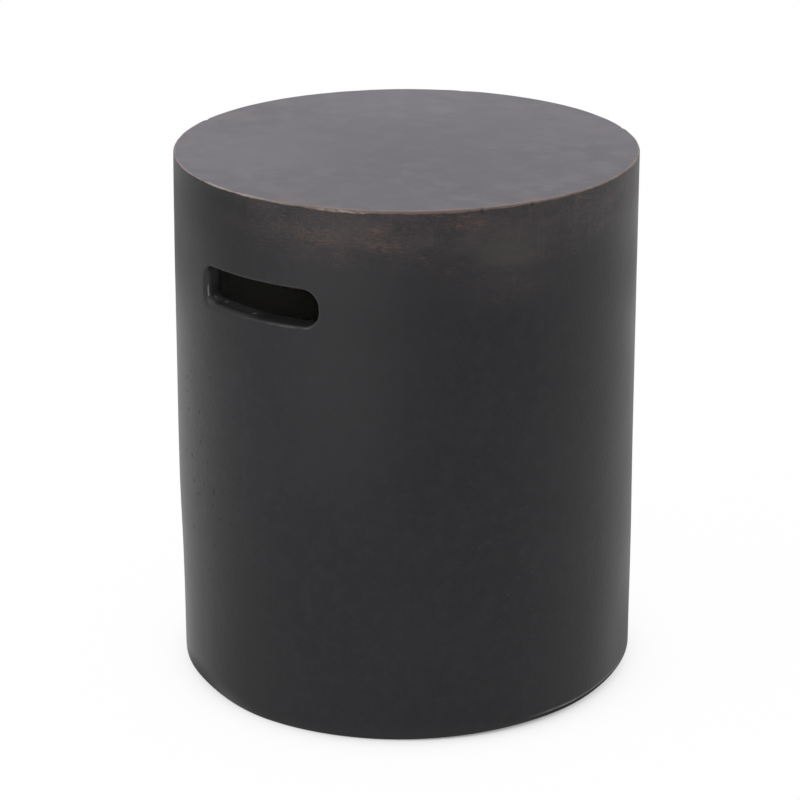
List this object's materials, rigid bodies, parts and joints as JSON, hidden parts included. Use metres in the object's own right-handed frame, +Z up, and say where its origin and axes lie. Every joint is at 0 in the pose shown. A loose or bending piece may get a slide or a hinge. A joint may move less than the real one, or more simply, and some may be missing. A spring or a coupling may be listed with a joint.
{
  "type": "outdoor side table",
  "caption": "Upright drum side table of dark coated cast concrete with a closed flat round top, a hollow inside, finger slots in the wall for lifting, and rubber pads under its foot ledge.",
  "frame": {"origin": "on the floor, on the axis of the drum, at the centre of the footprint", "axes": "+Z up along the drum's axis; the finger slots face -Y and +Y"},
  "size_m": [0.4, 0.4, 0.465],
  "materials": {
    "coated_concrete": "charcoal satin coat on lightweight concrete, rubbed brown along the top edge",
    "adhesive": "hardened grey adhesive",
    "pad_rubber": "moulded matt black",
    "screw_zinc": "zinc plated",
    "plug_nylon": "grey nylon"
  },
  "bodies": {
    "root": {"drum_wall": "coated_concrete", "table_top": "coated_concrete", "top_bond": "adhesive", "foot_pad_1": "pad_rubber", "pad_screw_1": "screw_zinc", "wall_plug_1": "plug_nylon", "foot_pad_2": "pad_rubber", "pad_screw_2": "screw_zinc", "wall_plug_2": "plug_nylon", "foot_pad_3": "pad_rubber", "pad_screw_3": "screw_zinc", "wall_plug_3": "plug_nylon", "foot_pad_4": "pad_rubber", "pad_screw_4": "screw_zinc", "wall_plug_4": "plug_nylon"}
  },
  "joints": []
}
